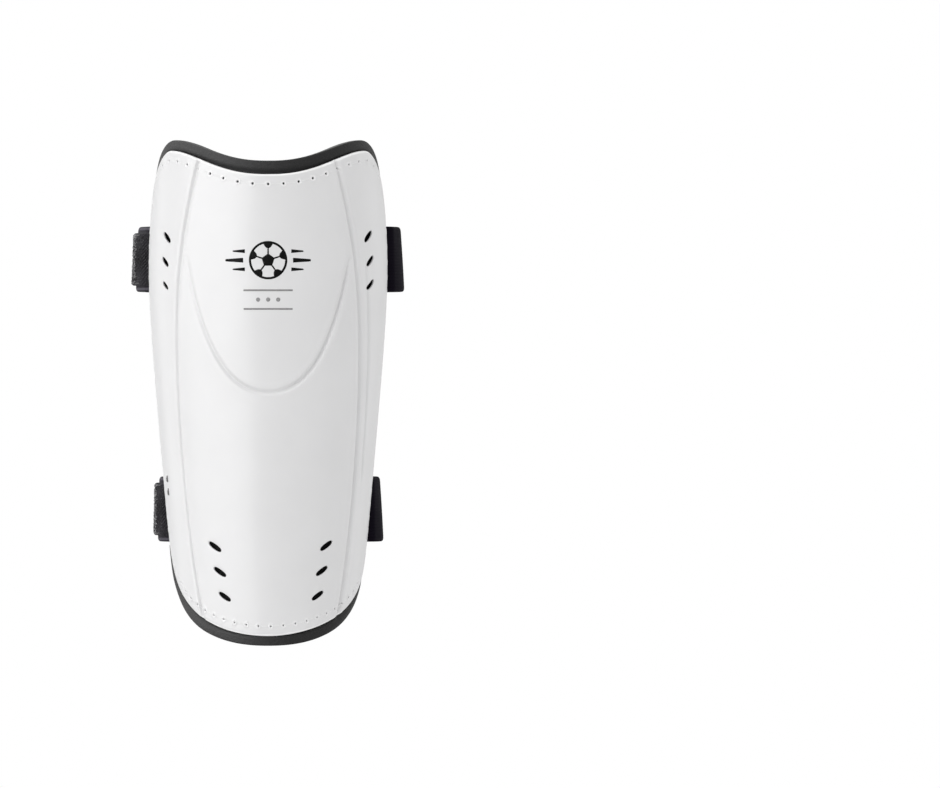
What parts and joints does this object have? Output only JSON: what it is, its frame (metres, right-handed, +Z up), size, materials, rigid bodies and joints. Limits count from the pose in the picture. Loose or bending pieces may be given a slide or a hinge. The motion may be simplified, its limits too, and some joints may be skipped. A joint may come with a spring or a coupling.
{
  "type": "shin guard",
  "caption": "Curved hard-shell shin guard with a padded foam liner, stitched edge, vent slots and elastic hook-and-loop calf straps.",
  "frame": {"origin": "centre of the lining's inner face, half way up the guard, where the guard sits on the shin", "axes": "+Z up along the shin, -Y is the front of the guard, +X is to the right seen from the front"},
  "size_m": [0.1087, 0.1289, 0.2],
  "materials": {
    "shell_white": "satin gloss, moulded",
    "foam_grey": "fine closed-cell foam, matt",
    "lining_grey": "brushed knit",
    "thread_white": "twisted polyester thread",
    "thread_grey": "twisted polyester thread",
    "elastic_black": "woven elastic",
    "webbing_grey": "ribbed webbing",
    "loop_pile": "looped pile",
    "hook_nylon": "rows of moulded hooks"
  },
  "bodies": {
    "guard": {"shell": "shell_white", "foam_liner": "foam_grey", "lining_fabric": "lining_grey", "perimeter_stitching": "thread_white", "upper_loop_tab": "webbing_grey", "upper_loop_tape": "loop_pile", "upper_tape_stitching": "thread_grey", "upper_elastic_root": "elastic_black", "upper_anchor_stitching": "thread_white", "lower_loop_tab": "webbing_grey", "lower_loop_tape": "loop_pile", "lower_tape_stitching": "thread_grey", "lower_elastic_root": "elastic_black", "lower_anchor_stitching": "thread_white"},
    "upper_strap": {"upper_elastic_band": "elastic_black"},
    "upper_hook_end": {"upper_hook_tab": "elastic_black", "upper_hook_tape": "hook_nylon", "upper_hook_stitching": "thread_grey"},
    "lower_strap": {"lower_elastic_band": "elastic_black"},
    "lower_hook_end": {"lower_hook_tab": "elastic_black", "lower_hook_tape": "hook_nylon", "lower_hook_stitching": "thread_grey"}
  },
  "joints": [
    {"name": "upper_strap_swing", "type": "hinge", "parent": "guard", "child": "upper_strap", "pos_m": [0.0532, 0.06431, 0.0534], "axis": [0, 0, -1], "range_deg": [0, 100]},
    {"name": "upper_hook_peel", "type": "hinge", "parent": "upper_strap", "child": "upper_hook_end", "pos_m": [-0.02476, 0.11398, 0.0534], "axis": [0, 0, -1], "range_deg": [0, 80]},
    {"name": "lower_strap_swing", "type": "hinge", "parent": "guard", "child": "lower_strap", "pos_m": [0.04485, 0.06041, -0.0465], "axis": [0, 0, -1], "range_deg": [0, 100]},
    {"name": "lower_hook_peel", "type": "hinge", "parent": "lower_strap", "child": "lower_hook_end", "pos_m": [-0.02102, 0.10237, -0.0465], "axis": [0, 0, -1], "range_deg": [0, 80]}
  ]
}
